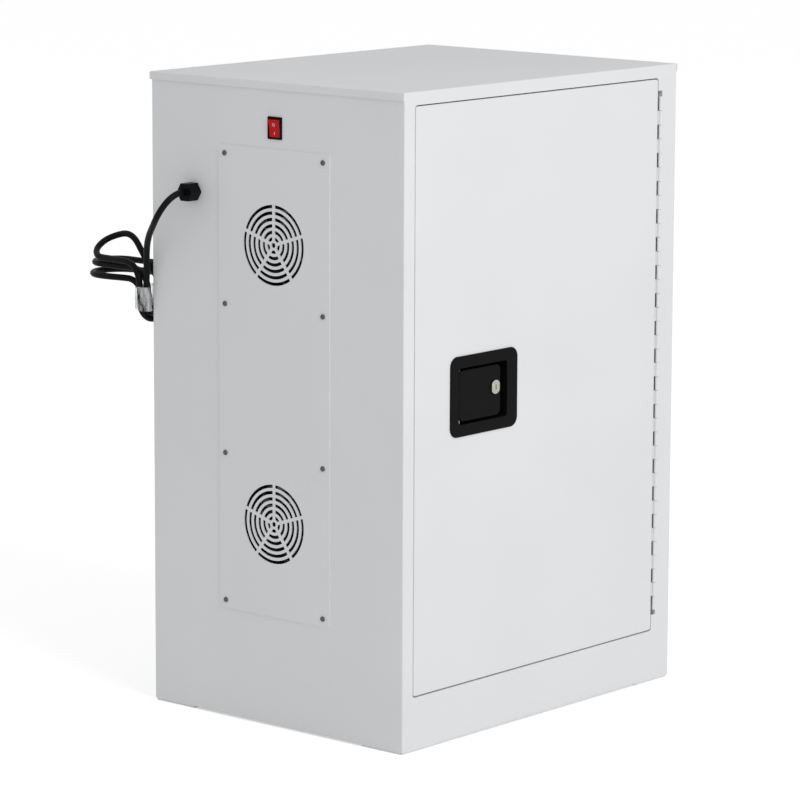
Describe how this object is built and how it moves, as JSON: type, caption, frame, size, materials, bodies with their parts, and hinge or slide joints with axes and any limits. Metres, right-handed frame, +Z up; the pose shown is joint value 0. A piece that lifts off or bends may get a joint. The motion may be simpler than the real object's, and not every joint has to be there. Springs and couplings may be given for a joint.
{
  "type": "battery cabinet",
  "caption": "Free-standing double-walled steel battery cabinet with a hinged inset door, flush paddle latch, side fans, rocker switch and mains lead.",
  "frame": {"origin": "on the floor under the middle of the steel body", "axes": "+Z up, the door faces -Y, +X to the right seen from the front"},
  "size_m": [0.6494, 0.5934, 0.89],
  "materials": {
    "powder_coat": "satin powder coat, cool white",
    "liner_coat": "satin powder coat",
    "zinc_steel": "zinc plated",
    "lock_chrome": "nickel plated",
    "black_plastic": "fine grained",
    "socket_plastic": "smooth",
    "rocker_red": "translucent, lit",
    "black_rubber": "matte",
    "cord_jacket": "smooth jacket",
    "clear_film": "clear plastic film"
  },
  "bodies": {
    "cabinet": {"front_frame": "powder_coat", "strike_plate": "zinc_steel", "fan_plate": "powder_coat", "fan_plate_screws": "zinc_steel", "side_panel_left": "powder_coat", "side_panel_right": "powder_coat", "rear_panel": "powder_coat", "base_panel": "powder_coat", "top_cap": "powder_coat", "foot_front_left": "black_rubber", "foot_front_right": "black_rubber", "foot_rear_left": "black_rubber", "foot_rear_right": "black_rubber", "liner": "liner_coat", "vent_guard_lower": "liner_coat", "vent_guard_upper": "liner_coat", "shelf": "liner_coat", "shelf_brackets": "zinc_steel", "outlet_bar": "black_plastic", "outlet_sockets": "socket_plastic", "fan_frame_lower": "black_plastic", "fan_frame_upper": "black_plastic", "switch_housing": "black_plastic", "gland_body": "black_plastic", "gland_nut": "black_plastic", "gland_seal": "black_rubber", "gland_locknut": "black_plastic", "supply_lead": "cord_jacket", "outlet_lead": "cord_jacket", "fan_lead": "cord_jacket", "hinge_frame_leaf": "powder_coat", "hinge_pin": "zinc_steel", "door_gasket": "black_rubber", "power_cord": "cord_jacket", "cord_hank": "cord_jacket", "cord_tie": "clear_film", "power_plug": "cord_jacket"},
    "door": {"hinge_door_leaf": "powder_coat", "door_skin": "powder_coat", "door_inner": "liner_coat", "latch_dish": "black_plastic", "latch_pin": "zinc_steel", "latch_guide": "zinc_steel", "tongue_bracket": "zinc_steel"},
    "paddle": {"latch_paddle": "black_plastic", "lock_body": "lock_chrome"},
    "lock": {"lock_plug": "lock_chrome"},
    "tongue": {"latch_tongue": "zinc_steel"},
    "rocker": {"switch_rocker": "rocker_red"},
    "fan_lower": {"fan_rotor_lower": "black_plastic"},
    "fan_upper": {"fan_rotor_upper": "black_plastic"}
  },
  "joints": [
    {"name": "door_hinge", "type": "hinge", "parent": "cabinet", "child": "door", "pos_m": [0.2575, -0.2315, 0.476], "axis": [0, 0, 1], "range_deg": [0, 175]},
    {"name": "paddle_pull", "type": "hinge", "parent": "door", "child": "paddle", "pos_m": [-0.1769, -0.2255, 0.473], "axis": [0, 0, -1], "range_deg": [0, 30], "stiffness_Nm_per_rad": 0.5, "springref_deg": -17.19},
    {"name": "tongue_slide", "type": "slide", "parent": "door", "child": "tongue", "axis": [1, 0, 0], "range_m": [0, 0.0115]},
    {"name": "lock_turn", "type": "hinge", "parent": "paddle", "child": "lock", "pos_m": [-0.105, -0.2305, 0.4773], "axis": [0, -1, 0], "range_deg": [0, 90]},
    {"name": "rocker_tip", "type": "hinge", "parent": "cabinet", "child": "rocker", "pos_m": [-0.293, -0.0008, 0.8276], "axis": [0, 1, 0], "range_deg": [0, 18]},
    {"name": "fan_lower_spin", "type": "hinge", "parent": "cabinet", "child": "fan_lower", "pos_m": [-0.285, 0.00135, 0.2843], "axis": [1, 0, 0], "continuous": true},
    {"name": "fan_upper_spin", "type": "hinge", "parent": "cabinet", "child": "fan_upper", "pos_m": [-0.285, 0.00135, 0.6685], "axis": [1, 0, 0], "continuous": true}
  ],
  "couplings": [
    {"joint": "tongue_slide", "follows": "paddle_pull", "m_per_rad": 0.02194}
  ]
}
